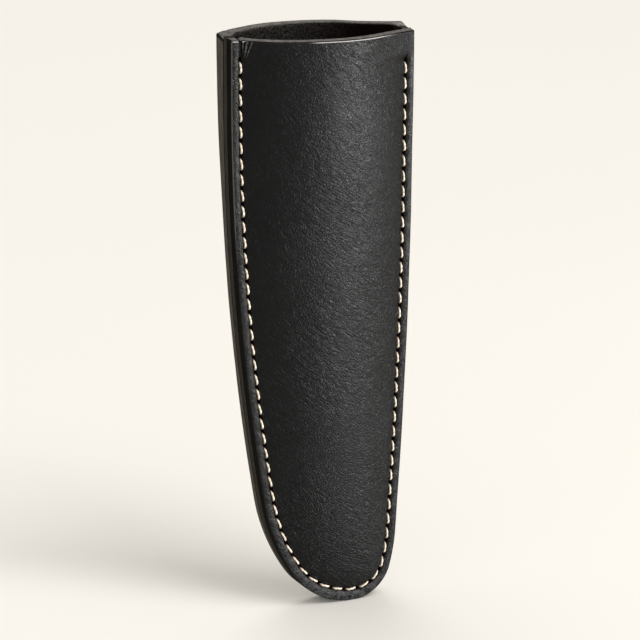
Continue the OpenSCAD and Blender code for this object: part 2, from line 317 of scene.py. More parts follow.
class Sheath:
    """The rules of the sheath's shape, worked out from the sizes."""

    def __init__(self, scene):
        self.outline = scene.guard_outline
        self.leather = scene.guard_leather
        self.seam = scene.guard_seam
        o = self.outline
        self.height = o.seam_height
        self.sides = {
            EDGE: Side(EDGE, o.tip_from_edge, o.edge_straight, o.edge_tip_radius, o.edge_tip_turn,
                       o.edge_belly_radius),
            SPINE: Side(SPINE, o.mouth_width - o.tip_from_edge, o.spine_straight, o.spine_tip_radius,
                        o.spine_tip_turn, o.spine_corner_radius),
        }
        mouth = np.array([self.height])
        self.tip_x = float(self.sides[EDGE].reach(mouth)[0] - self.sides[SPINE].reach(mouth)[0]) / 2
        self.half_width = o.mouth_width / 2
        self.welt_half = (WELT_HIGH.y - WELT_LOW.y) / 2
        self.middle = (WELT_HIGH.y + WELT_LOW.y) / 2

    def inset(self, side, z, distance):
        """The point a distance in from the outer edge, beside the outline's point of height z."""
        s = self.sides[side]
        h = s.heading(z)
        x = self.tip_x + side * (s.reach(z) - np.sin(h) * distance)
        return x, np.minimum(self.height, z + np.cos(h) * distance)

    def seam_inset(self, side, z):
        m = self.seam
        return m.margin + (m.margin_tip - m.margin) * np.cos(self.sides[side].heading(z)) ** 2

    def crease_inset(self, side, z):
        return self.seam_inset(side, z) + self.seam.groove_half

    def ran_out(self, side, z):
        """1 where groove and margin have run out above the spine side's first hole."""
        if side == EDGE:
            return np.zeros_like(z)
        return smooth((z - self.height + self.seam.first_spine) / self.seam.run_out)

    def near_swell(self, z):
        return smooth((z - self.height) / self.leather.swell_length + 1)

    def swell(self, face, x, z):
        """Extra thickness of the back's margin, which dies out downwards and towards the spine side."""
        if face == FRONT:
            return np.zeros(np.broadcast(x, z).shape)
        fade = grow(x / self.half_width, *SWELL_FADE)
        return self.leather.mouth_swell * self.near_swell(z) * (1 - self.leather.swell_fade * fade)

    def rise(self, face, z, x, plan_z):
        """How far the bend lifts the leather at a point, and how steeply. Outside the bend it is negative."""
        leather = self.leather
        ax, az = self.inset(EDGE, z, self.crease_inset(EDGE, z))
        bx, bz = self.inset(SPINE, z, self.crease_inset(SPINE, z))
        span = np.maximum(np.hypot(bx - ax, bz - az), 1e-9)
        along = ((x - ax) * (bx - ax) + (plan_z - az) * (bz - az)) / span**2
        end = 1 + self.ran_out(SPINE, z) * (self.crease_inset(SPINE, z) - leather.edge_round) / span
        bent = np.minimum(along, end - np.sqrt(end * (end - 1)))
        bow = span + leather.mouth_flare * self.near_swell(z)
        radius = leather.front_radius if face == FRONT else leather.back_radius
        raised = bow**2 * (along - bent * (2 * along - bent)) / (2 * radius)
        return raised, bow * (1 - 2 * bent) / (2 * radius)

    def near_mouth(self, z):
        return smooth((z - self.height) / self.leather.dome_length + 1)

    def slant(self, x, y, near):
        """How far the slant of the mouth lifts a point of this depth."""
        leather = self.leather
        across = x / self.half_width
        steeper = 1 + leather.mouth_twist * smooth(-across)
        lift = leather.spine_lift * grow(across, *SPINE_LIFT) + leather.edge_lift * grow(-across, *EDGE_LIFT)
        return (math.tan(leather.mouth_slant) * steeper * y + lift * smooth(y / LIFT_DEPTH)) * near

    def rows(self, top, step):
        """Heights of mesh rows up to a top, at even steps along the cutting edge side."""
        z = top * np.linspace(0, 1, 4000) ** 2
        x = self.sides[EDGE].reach(z)
        run = np.concatenate([[0], np.cumsum(np.hypot(np.diff(x), np.diff(z)))])
        even = np.linspace(0, run[-1], int(round(run[-1] / step)) + 1)
        return np.interp(even, run, z)

    def seam_line(self):
        """The seam from the cutting edge side's first hole, round the tip, to the spine side's."""
        halves = []
        for side, first in ((EDGE, self.seam.first_edge), (SPINE, self.seam.first_spine)):
            z = (self.height - first) * np.linspace(0, 1, 1200) ** 2
            halves.append(np.stack(self.inset(side, z, self.seam_inset(side, z)), axis=1))
        return np.concatenate([halves[0][:0:-1], halves[1]])

    def holes(self):
        """Points of the stitch holes, spaced evenly along the seam."""
        line = self.seam_line()
        run = np.concatenate([[0], np.cumsum(np.hypot(*np.diff(line, axis=0).T))])
        stitches = round(run[-1] / self.seam.pitch)
        even = np.linspace(0, run[-1], stitches + 1)
        return np.stack([np.interp(even, run, line[:, 0]), np.interp(even, run, line[:, 1])], axis=1)

    def hole_turns(self, holes):
        """Direction of the seam at each hole."""
        run = np.gradient(holes, axis=0)
        return np.arctan2(run[:, 1], run[:, 0])

    def floor_out(self, face, x, z):
        """Distance of the groove's floor from the mid-plane."""
        return self.welt_half + self.leather.thickness + self.swell(face, x, z) - self.seam.groove_depth


def waves(x, z, seed, wavelength, amplitude):
    """Soft unevenness: a few waves of random direction."""
    rng = np.random.default_rng(seed)
    total = np.zeros(np.broadcast(x, z).shape)
    for _ in range(9):
        way = rng.uniform(0, 2 * math.pi)
        pace = 2 * math.pi / (wavelength * rng.uniform(0.7, 1.4))
        total += np.cos(pace * (x * math.cos(way) + z * math.sin(way)) + rng.uniform(0, 2 * math.pi))
    return total * amplitude / 3


class Margin:
    """Columns of a panel's margin from the glue line over the cut edge, strip and groove to the crease."""

    def __init__(self, sheath):
        leather, seam = sheath.leather, sheath.seam
        columns = []

        def column(fixed, of_seam, lift, drop, burnish, inward):
            columns.append((fixed, of_seam, lift, drop, burnish, inward))

        for t in (0, 0.06, 0.13, 0.25, 0.55, 0.85):
            dent = leather.glue_dent * math.exp(-((t * leather.thickness / leather.glue_width) ** 2))
            column(dent, 0, t, t * leather.edge_round, 1, 0)
        for i in range(7):
            a = math.pi / 2 * i / 6
            r = leather.edge_round
            column(r * (1 - math.cos(a)), 0, 1, r * (1 - math.sin(a)), max(1 - i / 6, STRIP_MARK), a)
        for i in range(1, 7):
            t = i / 7
            column(leather.edge_round * (1 - t) - seam.groove_half * t, t, 1,
                   -leather.strip_crown * math.sin(math.pi * t), STRIP_MARK, math.pi / 2)
        for i in range(9):
            at = seam.groove_half * (i / 4 - 1)
            floor = seam.groove_depth * (0.5 + 0.5 * math.cos(math.pi * at / seam.groove_half)) ** 0.8
            column(at, 1, 1, floor, 0, math.pi / 2)
        self.fixed, self.of_seam, self.lift, self.drop, self.burnish, self.inward = np.array(columns).T
        self.size = len(columns)


def both_ends(values, middle):
    """A row of columns: the margin's values, the pocket's and the margin's again from inside out."""
    return np.concatenate([values, middle, values[::-1]])


class Panel:
    """Builds the skin of one formed panel as a closed grid: outer face, mouth edge and inner face."""

    def __init__(self, sheath, face):
        self.sheath = sheath
        self.face = face
        self.margin = Margin(sheath)
        inside = sheath.leather.pocket_columns
        self.share = (1 - np.cos(np.linspace(0, math.pi, inside + 2)[1:-1])) / 2
        zero = np.zeros(inside)
        m = self.margin
        self.lift = both_ends(m.lift, zero + 1)
        self.drop = both_ends(m.drop, zero)
        self.burnish = both_ends(m.burnish, zero)
        self.inward = both_ends(m.inward, zero + math.pi / 2)
        self.across = both_ends(np.zeros(m.size), self.share)
        self.pocket = both_ends(np.zeros(m.size), zero + 1) > 0
        self.of_seam = both_ends(m.of_seam, zero)

    def plan(self, z):
        """Where each column lies in the rows of these heights, seen from the front."""
        s = self.sheath
        z = z[:, None]
        m = self.margin
        ends = {}
        for side in (EDGE, SPINE):
            distance = m.fixed + m.of_seam * s.seam_inset(side, z)
            ends[side] = s.inset(side, z, distance)
        creases = {side: s.inset(side, z, s.crease_inset(side, z)) for side in (EDGE, SPINE)}
        columns = []
        for axis in (0, 1):
            inside = creases[EDGE][axis] * (1 - self.share) + creases[SPINE][axis] * self.share
            columns.append(np.concatenate([ends[EDGE][axis], inside, ends[SPINE][axis][:, ::-1]], axis=1))
        return columns

    def dome(self, z):
        leather = self.sheath.leather
        near = self.sheath.near_mouth(z[:, None])
        lift = leather.front_lift if self.face == FRONT else 0
        return (leather.mouth_dome * 4 * self.across * (1 - self.across) + lift) * near

    def bend(self, z, x, plan_z):
        raw, slope = self.sheath.rise(self.face, z[:, None], x, plan_z)
        soft = self.sheath.leather.crease_soft
        return (raw + np.sqrt(raw**2 + soft**2)) / 2, slope

    def relief(self, x, z):
        """What the maker's hands and the thread leave on the outer face."""
        s = self.sheath
        seam = s.seam
        total = waves(x, z, seed=11 + self.face, wavelength=0.030, amplitude=0.00007)
        total = total + waves(x, z, seed=21 + self.face, wavelength=0.011, amplitude=0.00002)
        for hx, hz in s.holes():
            apart = ((x - hx) ** 2 + (z - hz) ** 2) / seam.dimple_reach**2
            total -= seam.dimple * np.exp(-apart)
        hx, hz = s.holes()[0]
        away = np.hypot(x - hx, z - hz)
        angle = np.arctan2(x - hx, z - hz)
        fan = grow(angle, *FAN_STARTS) * fall(angle, *FAN_ENDS) * fall(away, *FAN_LENGTH)
        fan *= smooth(away / FAN_ROOT)
        total += FAN_HEIGHT * fan * np.cos(2 * math.pi * angle / FAN_PITCH)
        below = s.height - z
        total -= PRESSED_DEPTH * np.exp(-(((below - PRESSED_BELOW) / PRESSED_HALF) ** 2))
        return total

    def wear(self, x, height):
        """What wear and the thread's pull take off the mouth's edge on the cutting edge side."""
        s = self.sheath
        reach = s.leather.corner_reach
        near_edge = smooth(1 - (s.height - height) / (2 * reach))
        if self.face == FRONT:
            off = (x + s.half_width - s.seam.margin) / s.seam.groove_half
            drawn = np.exp(-(off**2)) - NOTCH_LIP * np.exp(-((off - NOTCH_LIP_AT) ** 2))
            return s.leather.notch * drawn * near_edge
        aside = np.clip(1 - (x + s.half_width) / reach, 0, 1)
        return s.leather.corner_wear * aside * near_edge

    def outer(self, z, x, plan_z):
        s = self.sheath
        leather = s.leather
        rise, _ = self.bend(z, x, plan_z)
        thick = leather.thickness + s.swell(self.face, x, z[:, None])
        free = np.where(x > s.tip_x, s.ran_out(SPINE, z)[:, None], 0)
        groove = np.where(self.of_seam > 0, 1 - free, 1)
        return (self.lift * thick + np.where(self.lift < 1, 0, rise) - self.drop * groove
                + self.lift**2 * self.relief(x, plan_z))

    def inner(self, z, x, plan_z):
        s = self.sheath
        raw, slope = s.rise(self.face, z[:, None], x, plan_z)
        side = np.minimum(self.across, 1 - self.across)
        lifted = s.swell(self.face, x, z[:, None]) * grow(s.half_width - abs(x), *OPENED_INSIDE)
        thinner = s.leather.thickness * (np.sqrt(1 + slope**2) - 1)
        suede = waves(x, plan_z, seed=31 + self.face, wavelength=0.004, amplitude=0.00003)
        ends = np.where(self.pocket, 1, x > 0) * grow(s.half_width - x, s.seam.welt_spine, WELT_STEP)
        bulge = (raw - thinner + suede * smooth(side / SUEDE_EASE)) * ends
        return np.where(self.pocket | (self.of_seam > GLUED_SHARE), np.maximum(0, bulge + lifted), 0)

    def grid(self):
        """Points of the whole skin, row by row. Burnish is 1 on the cut edge and 2 on the mouth's edge."""
        s = self.sheath
        leather = s.leather
        z = s.rows(s.height, leather.row_step)
        z = z[z < s.height - 1.5 * leather.mouth_round]
        rows = []

        def add(x, y, height, burnished, flesh, near=1.0):
            out = self.face * (s.welt_half + y) + s.middle
            height = height + s.slant(x, out, near) - self.wear(x, height)
            rows.append([np.broadcast_to(v, x.shape) for v in (x, out, height, burnished, flesh)])

        x, plan_z = self.plan(z)
        near = s.near_mouth(z[:, None])
        add(x, self.outer(z, x, plan_z), plan_z + self.dome(z), self.burnish, 0, near)

        turns = np.linspace(0, math.pi / 2, len(RIM_MARKS))
        r = leather.mouth_round
        top = np.full(1, s.height)
        x, plan_z = self.plan(top)
        y = self.outer(top, x, plan_z)
        height = plan_z + self.dome(top)
        sign = np.where(np.arange(x.shape[1]) < x.shape[1] / 2, 1, -1)
        for a, mark in zip(turns, RIM_MARKS):
            back = r * (1 - math.cos(a))
            burnished = np.where(self.burnish < 1, np.maximum(self.burnish, mark), max(mark, CORNER_MARK))
            add(x + sign * back * np.cos(self.inward), np.maximum(y - back * np.sin(self.inward), 0),
                height - r * (1 - math.sin(a)), burnished, 0)
        last_x, last_y = rows[-1][0], np.maximum(y - r * np.sin(self.inward), 0)
        bottom = self.inner(top, x, plan_z)
        ri = np.where(self.pocket, leather.inner_round, 0) * np.ones_like(x)
        first_y = bottom + ri
        for t in (0.2, 0.5, 0.8, 1):
            inwards = last_y * (1 - t) + first_y * t
            uneven = waves(x, inwards, seed=41 + self.face, wavelength=0.002, amplitude=0.00003)
            uneven = uneven * (1 - t) * 4 * t
            add(last_x + (x - last_x) * t, last_y + (first_y - last_y) * t, height + uneven, 2, 0)
        for a in turns[1:]:
            add(x, bottom + ri * (1 - math.sin(a)), height - ri * (1 - math.cos(a)), 2, a / (math.pi / 2))
        down = z[::-1][1:]
        x, plan_z = self.plan(down)
        add(x, self.inner(down, x, plan_z), plan_z + self.dome(down), 0, 1, s.near_mouth(down[:, None]))
        return [np.concatenate([np.atleast_2d(r[i]) for r in rows]) for i in range(5)]

    def build(self, name, materials):
        x, y, z, burnished, flesh = self.grid()
        return grid_object(name, x, y, z, {"burnish": burnished, "flesh": flesh}, materials)


def grid_object(name, x, y, z, masks, materials):
    """A closed skin from a grid of points whose sides and ends meet. Gaps left at its corners are filled."""
    rows, columns = x.shape
    index = np.arange(rows * columns).reshape(rows, columns)
    quads = np.stack([index[:-1, :-1], index[:-1, 1:], index[1:, 1:], index[1:, :-1]], axis=-1).reshape(-1, 4)
    mesh = bpy.data.meshes.new(name)
    mesh.from_pydata(np.stack([x, y, z], axis=-1).reshape(-1, 3).tolist(), [], quads.tolist())
    for mask, values in masks.items():
        attribute = mesh.attributes.new(mask, "FLOAT", "POINT")
        attribute.data.foreach_set("value", values.astype(np.float32).ravel())
    bm = bmesh.new()
    bm.from_mesh(mesh)
    bmesh.ops.remove_doubles(bm, verts=bm.verts, dist=1e-7)
    bmesh.ops.dissolve_degenerate(bm, edges=bm.edges, dist=1e-8)
    bmesh.ops.holes_fill(bm, edges=bm.edges)
    bmesh.ops.recalc_face_normals(bm, faces=bm.faces)
    bm.to_mesh(mesh)
    bm.free()
    for material in materials:
        mesh.materials.append(material)
    piece = bpy.data.objects.new(name, mesh)
    bpy.context.scene.collection.objects.link(piece)
    return piece


def plain_mesh(piece):
    """Turns a piece's modifiers into a plain mesh."""
    graph = bpy.context.evaluated_depsgraph_get()
    mesh = bpy.data.meshes.new_from_object(
        piece.evaluated_get(graph), preserve_all_data_layers=True, depsgraph=graph
    )
    mesh.name = piece.name
    piece.modifiers.clear()
    piece.data = mesh


def punch(piece, sheath, material):
    """Cuts the stitch holes, which are longer along the seam than across it."""
    holes = sheath.holes()
    bm = bmesh.new()
    for (hx, hz), angle in zip(holes, sheath.hole_turns(holes)):
        angle += sheath.seam.slant
        rings = []
        for y in (-PUNCH_REACH, PUNCH_REACH):
            ring = []
            for i in range(PUNCH_SIDES):
                a = 2 * math.pi * i / PUNCH_SIDES
                u = sheath.seam.hole_length / 2 * math.cos(a)
                v = sheath.seam.hole_width / 2 * math.sin(a)
                ring.append(bm.verts.new((hx + u * math.cos(angle) - v * math.sin(angle), y + sheath.middle,
                                          hz + u * math.sin(angle) + v * math.cos(angle))))
            rings.append(ring)
        bm.faces.new(rings[0])
        bm.faces.new(rings[1][::-1])
        for i in range(PUNCH_SIDES):
            j = (i + 1) % PUNCH_SIDES
            bm.faces.new((rings[0][j], rings[0][i], rings[1][i], rings[1][j]))
    bmesh.ops.recalc_face_normals(bm, faces=bm.faces)
    mesh = bpy.data.meshes.new("hole_punches")
    bm.to_mesh(mesh)
    bm.free()
    mesh.materials.append(material)
    punches = bpy.data.objects.new("hole_punches", mesh)
    bpy.context.scene.collection.objects.link(punches)
    cut = piece.modifiers.new("stitch_holes", "BOOLEAN")
    cut.operation = "DIFFERENCE"
    cut.solver = "MANIFOLD"
    cut.material_mode = "TRANSFER"
    cut.object = punches
    plain_mesh(piece)
    bpy.data.objects.remove(punches)
    bpy.data.meshes.remove(mesh)


def finish_piece(piece, node):
    """Shades a piece smooth apart from its sharp edges, and hands it to the frame."""
    piece.data.shade_smooth()
    piece.data.set_sharp_from_angle(angle=SHARP_ANGLE)
    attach(piece, "root")
    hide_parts(node)


class Socket:
    """A node's output that Python's operators work on."""

    def __init__(self, tree, socket):
        self.tree = tree
        self.socket = socket

    def maths(self, operation, first, second=None):
        values = {0: first} if second is None else {0: first, 1: second}
        return self.tree.add("ShaderNodeMath", {"operation": operation}, values)

    def __add__(self, other):
        return self.maths("ADD", self, other)

    def __radd__(self, other):
        return self.maths("ADD", other, self)

    def __sub__(self, other):
        return self.maths("SUBTRACT", self, other)

    def __rsub__(self, other):
        return self.maths("SUBTRACT", other, self)

    def __mul__(self, other):
        return self.maths("MULTIPLY", self, other)

    def __rmul__(self, other):
        return self.maths("MULTIPLY", other, self)

    def __truediv__(self, other):
        return self.maths("DIVIDE", self, other)

    def __pow__(self, other):
        return self.maths("POWER", self, other)

    def __abs__(self):
        return self.maths("ABSOLUTE", self)

    def sine(self):
        return self.maths("SINE", self)

    def cosine(self):
        return self.maths("COSINE", self)

    def clamp(self):
        return self.tree.add("ShaderNodeClamp", {}, {"Value": self})


class Tree:
    """Adds nodes to a shader or geometry tree."""

    def __init__(self, tree):
        self.tree = tree

    def add(self, kind, settings, sockets, output=0):
        """One node: its settings first, then the values or links of its sockets."""
        node = self.tree.nodes.new(kind)
        for name, value in settings.items():
            setattr(node, name, value)
        for name, value in sockets.items():
            target = node.inputs[name]
            if isinstance(value, Socket):
                self.tree.links.new(value.socket, target)
            else:
                target.default_value = value
        return Socket(self, node.outputs[output]) if node.outputs else node

    def step(self, value, low, high):
        """A soft step from 0 to 1 between two values."""
        return self.add("ShaderNodeMapRange", {"interpolation_type": "SMOOTHSTEP"},
                        {"Value": value, "From Min": low, "From Max": high})

    def band(self, value, low, full, fade, gone):
        """1 between two values, with a soft step at either end."""
        return self.step(value, low, full) * (1 - self.step(value, fade, gone))

    def tones(self, factor, colour, dark, pale):
        """A mix of a darker and a paler tone of one colour."""
        return self.mix(factor, [dark * c for c in colour], [pale * c for c in colour])

    def mix(self, factor, first, second):
        """A mix of two colours, each a link or three numbers."""
        first, second = (v if isinstance(v, Socket) else (*v, 1) for v in (first, second))
        return self.add("ShaderNodeMix", {"data_type": "RGBA"}, {0: factor, 6: first, 7: second}, 2)

    def noise(self, vector, scale, detail=2.0, roughness=0.5, distortion=0.0):
        return self.add("ShaderNodeTexNoise", {}, {
            "Vector": vector, "Scale": scale, "Detail": detail, "Roughness": roughness,
            "Distortion": distortion,
        })

    def shader(self, sockets):
        return self.add("ShaderNodeBsdfPrincipled", {}, sockets)

    def attribute(self, name):
        return self.add("ShaderNodeAttribute", {"attribute_name": name}, {}, "Fac")

    def axis(self, vector, name):
        return self.add("ShaderNodeSeparateXYZ", {}, {"Vector": vector}, name)


def new_material(name):
    """An empty material, its tree and its object coordinates."""
    material = bpy.data.materials.new(name)
    material.use_nodes = True
    material.node_tree.nodes.clear()
    tree = Tree(material.node_tree)
    return material, tree, tree.add("ShaderNodeTexCoord", {}, {}, "Object")


def close_material(tree, shader):
    tree.add("ShaderNodeOutputMaterial", {}, {"Surface": shader})


def stretched(tree, place, scale, angle=(0, 0, 0)):
    """Object coordinates turned and stretched."""
    return tree.add("ShaderNodeMapping", {"vector_type": "TEXTURE"},
                    {"Vector": place, "Rotation": angle, "Scale": scale})


def wrinkles(tree, place, hole):
    """Creases that fan out above the first stitch, the groove that runs on to the mouth, painted dark as its
    shade, and painted highlights on the lips beside it.
    """
    across = tree.axis(place, "X") - hole[0]
    up = tree.axis(place, "Z") - hole[1]
    lean = across / (up + 0.004)
    fan = tree.band(lean, 0.03, 0.10, 0.30, 0.46) * tree.step(up, 0.0004, 0.0016)
    ridges = (lean * 46 + tree.noise(place, 300, 2) * 3 + 4).sine()
    # The groove's mask, which the material paints dark as shade.
    groove = (1 - tree.step(abs(across), 0.00022, 0.00050)) * tree.step(up, 0.0010, 0.0020)
    lip_highlight = 2 - tree.step(abs(across - 0.0011), 0.0004, 0.0007)
    lip_highlight = lip_highlight - tree.step(abs(across + 0.0016), 0.0008, 0.0011)
    return fan * ridges, groove, lip_highlight


def leather_material(name, finish, edge_tone_and_shade, hole=None):
    """Black grain leather with its burnished cut edge and its flesh side, told apart by two masks, and with
    painted highlight and shade on its edges and in the pocket.
    """
    material, tree, place = new_material(name)
    cut = tree.attribute("burnish")
    burnish = cut.clamp()
    rim = (cut - 1).clamp()
    side = tree.axis(place, "X")
    # lit_rim places a painted highlight on the mouth's edge and, on the front, on the notch's lips; corner is
    # the line along the outer corners, worn paler on the cutting edge side and painted bright where lit_rim
    # is.
    lit_rim = tree.band(side, *LIT_RIM_X)
    pulled, groove = 0.0, 0.0
    if hole is not None:
        pulled, groove, lip_highlight = wrinkles(tree, place, hole)
        lit_rim = lit_rim + lip_highlight
    lit_rim = lit_rim * tree.step(tree.axis(place, "Z"), *RIM_Z)
    corner = tree.band(cut, 0.02, 0.2, 0.4, 0.7) * (lit_rim + tree.step(0 - side, *WORN_EDGE_X)).clamp()
    # A dark line painted on the mouth's rounding, between the rim's top and its highlight, and along the cut
    # edge under the mouth: painted shade.
    shade = tree.band(cut, 1.02, 1.12, 1.45, 1.8)
    flesh = tree.attribute("flesh").clamp()

    drift = tree.noise(place, 40, 3)
    fine = tree.noise(place, 2200, 2)
    hide = stretched(tree, place, (1, 1, 2.0), (0, CREASE_ANGLE, 0))
    cells = tree.add("ShaderNodeTexVoronoi", {"feature": "DISTANCE_TO_EDGE"}, {"Vector": hide, "Scale": 1900})
    pull_place = stretched(tree, place, (1, 1, 4.5), (0, CREASE_ANGLE, 0))
    creases = 1 - abs(tree.noise(pull_place, 420, 3, 0.55, 0.4) * 2 - 1)
    pull = creases ** 10 * tree.step(tree.noise(place, 26, 2), 0.30, 0.60)

    streaks_place = stretched(tree, place, (1, 1, 14))
    streaks = tree.noise(streaks_place, 2600, 3)
    rag = tree.noise(place, 700, 4, 0.65)
    suede = tree.noise(place, 1700, 3, 0.7)
    # deep darkens the flesh side towards the spine side: painted shade inside the pocket.
    deep = tree.step(side, *SHADED_X)

    grain_colour = tree.tones(drift, finish.grain, 0.8, 1.25)
    # The cut edge's burnish is scaled per layer: the front panel's low factor is painted shade on its edge.
    edge_colour = tree.mix(tree.step(streaks, 0.3, 0.7), [edge_tone_and_shade * c for c in finish.burnish_dark],
                           [edge_tone_and_shade * c for c in finish.burnish])
    rim_colour = tree.tones(tree.step(rag, 0.3, 0.7), finish.rim, 0.6, 1.3)
    lit_flesh = tree.tones(tree.step(suede, 0.40, 0.62), finish.flesh, 0.25, 1.9)
    flesh_colour = tree.mix(deep, lit_flesh, finish.deep)
    low = 1 - tree.step(tree.axis(place, "Z"), *TIP_Z)
    rubbed = tree.mix(low, finish.strip, finish.tip_strip)
    strip_colour = tree.mix(tree.step(rag, 0.42, 0.58), [0.3 * c for c in finish.strip], rubbed)
    grain_colour = tree.mix(tree.step(cut, 0.003, 0.010), grain_colour, strip_colour)
    outer = tree.mix(burnish, grain_colour, tree.mix(rim, edge_colour, rim_colour))
    # The worn tone, up to 3.2 times brighter where lit_rim is: a painted highlight on the mouth's edge.
    wear_and_highlight = tree.tones(lit_rim.clamp(), finish.worn, 0.6, 3.2)
    outer = tree.mix(corner, tree.mix(0.85 * shade, outer, finish.grain), wear_and_highlight)
    if hole is not None:
        outer = tree.mix((pulled * 0.22).clamp() * (1 - flesh), outer, finish.worn)
        # The groove above the first stitch painted near black: painted shade in the groove.
        outer = tree.mix(0.9 * groove, outer, finish.grain)
    skin = tree.mix(flesh, outer, flesh_colour)

    grain_rough = 0.27 + 0.10 * drift + 0.08 * fine
    rough = grain_rough * (1 - burnish) + 0.52 * burnish
    rough = rough * (1 - flesh) + 0.95 * flesh

    bumps = 0.6 * tree.step(cells, 0.0, 0.2) + 0.85 * fine - 1.3 * pull
    bumps = bumps + 3.0 * pulled - 3.0 * groove if hole is not None else bumps
    grain_height = bumps * (1 - burnish) * (1 - flesh)
    edge_height = (0.9 * streaks + 0.5 * rag) * burnish * (1 - flesh)
    flesh_height = 3.5 * suede * flesh
    normal = tree.add("ShaderNodeBump", {}, {
        "Strength": 1.0, "Distance": 0.00007, "Height": grain_height + edge_height + flesh_height,
    })
    smooth_side = tree.shader({
        "Base Color": skin, "Roughness": rough.clamp(), "Specular IOR Level": 0.115, "Normal": normal,
    })
    dry = tree.shader({"Base Color": skin, "Roughness": 0.9, "Specular IOR Level": 0.02, "Normal": normal})
    rough_share = (tree.step(cut, 0.4, 0.9) + flesh).clamp()
    close_material(tree, tree.add("ShaderNodeMixShader", {}, {0: rough_share, 1: smooth_side, 2: dry}))
    return material


def core_material(finish):
    """Leather fibres inside the stitch holes, stained by the wax."""
    material, tree, place = new_material("hole_wall")
    fibre = tree.noise(place, 1500, 3)
    close_material(tree, tree.shader({
        "Base Color": tree.tones(fibre, finish.core, 0.5, 1.6),
        "Roughness": 0.9, "Specular IOR Level": 0.2,
    }))
    return material


def thread_material(finish):
    """Waxed linen thread: pale on the arch, dark brown towards its ends, where it goes into the leather."""
    material, tree, place = new_material("waxed_thread")
    along = tree.attribute("along")
    tone = tree.attribute("tone")
    ends = tree.step(abs(along * 2 - 1), 0.40, 0.70)
    fibre = tree.noise(place, 3500, 3)
    pale = tree.tones(tone, finish.thread, 0.86, 1.1)
    aged = [c * s for c, s in zip(finish.thread, (0.62, 0.54, 0.46))]
    dark_end_colour = [c * s for c, s in zip(finish.thread, (0.120, 0.058, 0.025))]
    worn = tree.mix(tree.step(fibre, 0.35, 0.75), aged, pale)
    normal = tree.add("ShaderNodeBump", {}, {"Strength": 0.6, "Distance": 0.00005, "Height": fibre})
    close_material(tree, tree.shader({
        "Base Color": tree.mix(ends, worn, dark_end_colour), "Roughness": 0.62, "Specular IOR Level": 0.4,
        "Normal": normal,
    }))
    return material


